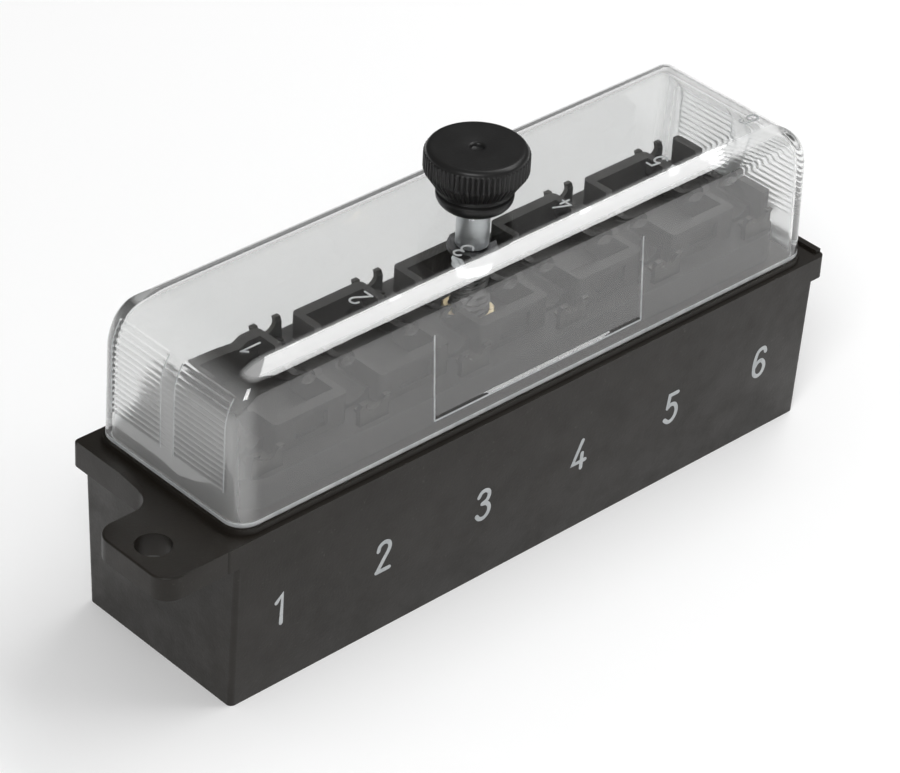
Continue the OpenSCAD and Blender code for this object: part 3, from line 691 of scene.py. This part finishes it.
def build_base():
    mesh = nodes["base_housing"].data.copy()
    bm = bmesh.new()
    bm.from_mesh(mesh)
    bmesh.ops.remove_doubles(bm, verts=bm.verts, dist=2e-6)
    bmesh.ops.dissolve_limit(bm, angle_limit=math.radians(1.0), verts=bm.verts, edges=bm.edges)
    near = 0.02
    for v in bm.verts:
        x, y, z = v.co / MM
        at_end = abs(y + math.copysign(BEAD_END, x)) < 0.05
        if abs(x) > BEAD_FROM_X and abs(z - BEAD_TOP) < near and at_end:
            v.co.y -= math.copysign(BEAD_RAMP * MM, x)

    def sharp_edges():
        return [e for e in bm.edges if e.is_manifold and e.calc_face_angle(0) > math.radians(40)]

    def outline(v):
        """Whether a point is on the upper outline of the plate and ears, apart from tight corners and holes."""
        x, y, z = v.co / MM
        ax, ay = abs(x), abs(y)
        corner = CORNER_FROM_X < ax < CORNER_TO_X and ay > CORNER_FROM_Y
        hole = math.hypot(ax - EAR_HOLE_X, ay - EAR_HOLE_Y) < EAR_HOLE_RIM
        outside = ax > PLATE_HALF_L or ay > PLATE_HALF_D
        return abs(z - PLATE_TOP) < near and outside and not corner and not hole

    def break_edges(edges, width, steps):
        bmesh.ops.bevel(bm, geom=edges, offset=width * MM, offset_type="OFFSET", segments=steps, profile=0.5,
                        affect="EDGES", clamp_overlap=True, loop_slide=True)

    break_edges([e for e in sharp_edges() if outline(e.verts[0]) and outline(e.verts[1])], OUTLINE_BREAK, 3)
    break_edges(sharp_edges(), OTHER_BREAK, 2)
    bm.to_mesh(mesh)
    bm.free()
    mesh.shade_smooth()
    mesh.set_sharp_from_angle(angle=math.radians(20))
    obj = bpy.data.objects.new("base_moulded", mesh)
    scene.collection.objects.link(obj)
    finish_piece(obj, "base", "base_moulding", BASE, "base_housing")
    # Second material: the painted-shade copy, for the faces under the cover
    mesh.materials.append(INNER_SHADED)
    level = 0.9999
    half_l, half_d = COVER_L / 2 - COVER_T, COVER_D / 2 - COVER_T
    for face in mesh.polygons:
        x, y, z = face.center / MM
        face.use_smooth = abs(face.normal.z) < level
        # Faces under the cover take the darker copy, which is painted shade
        if abs(x) < half_l and abs(y) < half_d and z > SEAT_TOP + 0.1:
            face.material_index = 1
    return obj


build_base()
build_cover()
build_cover_lines()
build_knob()
build_shank()
build_digits()

# Materials of the CAD nodes that show as they are

for name, obj in nodes.items():
    if name.endswith(("base_housing", "clear_cover", "knob", "shank")):
        continue
    paint = TINNED
    if name == "retaining_clip":
        paint = CLIP
    elif name == "threaded_insert":
        paint = BRASS
    obj.data.materials.clear()
    obj.data.materials.append(paint)


# Floor, world, lamps and camera

WORLD_SEEN, WORLD_DIFFUSE, WORLD_GLOSSY = 1.0, 0.43, 0.07
ARC_X, ARC_Z, ARC_RADIUS = 0.694, 0.04, 0.98
ARC_FIRST, ARC_STEP, ARC_SIZE, ARC_POWER = 130.25, 19.5, (0.38, 0.332), 2.1
FILL_PLACE, FILL_SIZE, FILL_POWER = (-0.7, -0.5, 0.8), (0.5, 0.5), 6.4
PHOTO_WIDTH, SENSOR = 900, 36


def build_floor():
    s = Shade("floor_paper")
    tone = s.cloudy(s.noise(2.5, 3, 0.5), (0.955, 0.955, 0.955), (0.97, 0.97, 0.97))
    normal = s.bump(s.noise(700, 3, 0.5), 0.02, 0.0002)
    paper = s.close(s.principled(Base_Color=tone, Roughness=0.85, Normal=normal).outputs[0])
    mesh = bpy.data.meshes.new("floor")
    mesh.from_pydata([(-3, -3, 0), (3, -3, 0), (3, 3, 0), (-3, 3, 0)], [], [(0, 1, 2, 3)])
    floor = bpy.data.objects.new("floor", mesh)
    mesh.materials.append(paper)
    scene.collection.objects.link(floor)


def build_world():
    """White to the camera and straight through the cover, and dimmer as light on the part and in reflections."""
    world = bpy.data.worlds.new("studio")
    scene.world = world
    world.use_nodes = True
    tree = world.node_tree
    tree.nodes.clear()

    def add(kind, inputs, operation=None):
        node = tree.nodes.new(kind)
        if operation:
            node.operation = operation
        for key, value in inputs.items():
            if isinstance(value, bpy.types.NodeSocket):
                tree.links.new(value, node.inputs[key])
            else:
                node.inputs[key].default_value = value
        return node.outputs[0]

    rays = tree.nodes.new("ShaderNodeLightPath").outputs
    direct = add("ShaderNodeMath", {0: rays["Diffuse Depth"], 1: 0.5}, "LESS_THAN")
    through = add("ShaderNodeMath", {0: rays["Is Transmission Ray"], 1: direct}, "MULTIPLY")
    seen = add("ShaderNodeMath", {0: rays["Is Camera Ray"], 1: through}, "MAXIMUM")
    dim = add("ShaderNodeMapRange", {"Value": rays["Is Glossy Ray"], "To Min": WORLD_DIFFUSE, "To Max": WORLD_GLOSSY})
    strength = add("ShaderNodeMapRange", {"Value": seen, "To Min": dim, "To Max": WORLD_SEEN})
    sky = add("ShaderNodeBackground", {"Color": (1, 1, 1, 1), "Strength": strength})
    output = tree.nodes.new("ShaderNodeOutputWorld")
    tree.links.new(sky, output.inputs["Surface"])


def add_softbox(name, place, target, size, power):
    lamp = bpy.data.lights.new(name, "AREA")
    lamp.shape = "RECTANGLE"
    lamp.size, lamp.size_y = size
    lamp.energy = power
    obj = bpy.data.objects.new(name, lamp)
    obj.location = place
    obj.rotation_euler = (Vector(target) - Vector(place)).to_track_quat("-Z", "Y").to_euler()
    scene.collection.objects.link(obj)


def build_camera():
    """Camera fitted to the photo: angles in degrees, focal length in pixels, shift in millimetres."""
    az, el, roll = math.radians(-44.630), math.radians(34.675), math.radians(-3.340)
    focal, shift = 3730.685, Vector((0.980, 18.057, 591.891))
    back = Vector((math.sin(az) * math.cos(el), -math.cos(az) * math.cos(el), math.sin(el)))
    ahead = -back
    right = ahead.cross(Vector((0, 0, 1))).normalized()
    down = ahead.cross(right)
    x_axis = right * math.cos(roll) + down * math.sin(roll)
    y_axis = down * math.cos(roll) - right * math.sin(roll)
    rows = Matrix((x_axis, y_axis, ahead))
    place = -(rows.transposed() @ shift) * MM
    cam = bpy.data.cameras.new("photo_camera")
    cam.sensor_fit = "HORIZONTAL"
    cam.sensor_width = SENSOR
    cam.lens = focal * SENSOR / PHOTO_WIDTH
    cam.clip_start = 0.01
    obj = bpy.data.objects.new("photo_camera", cam)
    turn = Matrix((x_axis, -y_axis, back)).transposed()
    obj.matrix_world = Matrix.Translation(place) @ turn.to_4x4()
    scene.collection.objects.link(obj)
    scene.camera = obj


build_floor()
build_world()
for part in range(4):
    turn = math.radians(ARC_FIRST - ARC_STEP * part)
    place = (ARC_X, ARC_RADIUS * math.cos(turn), ARC_Z + ARC_RADIUS * math.sin(turn))
    add_softbox(f"arc_{part + 1}", place, (ARC_X, 0, ARC_Z), ARC_SIZE, ARC_POWER)
add_softbox("fill", FILL_PLACE, (0, 0, 0.03), FILL_SIZE, FILL_POWER)
build_camera()

scene.view_settings.view_transform = "Standard"
scene.cycles.max_bounces = 24
scene.cycles.glossy_bounces = 10
scene.cycles.transmission_bounces = 24
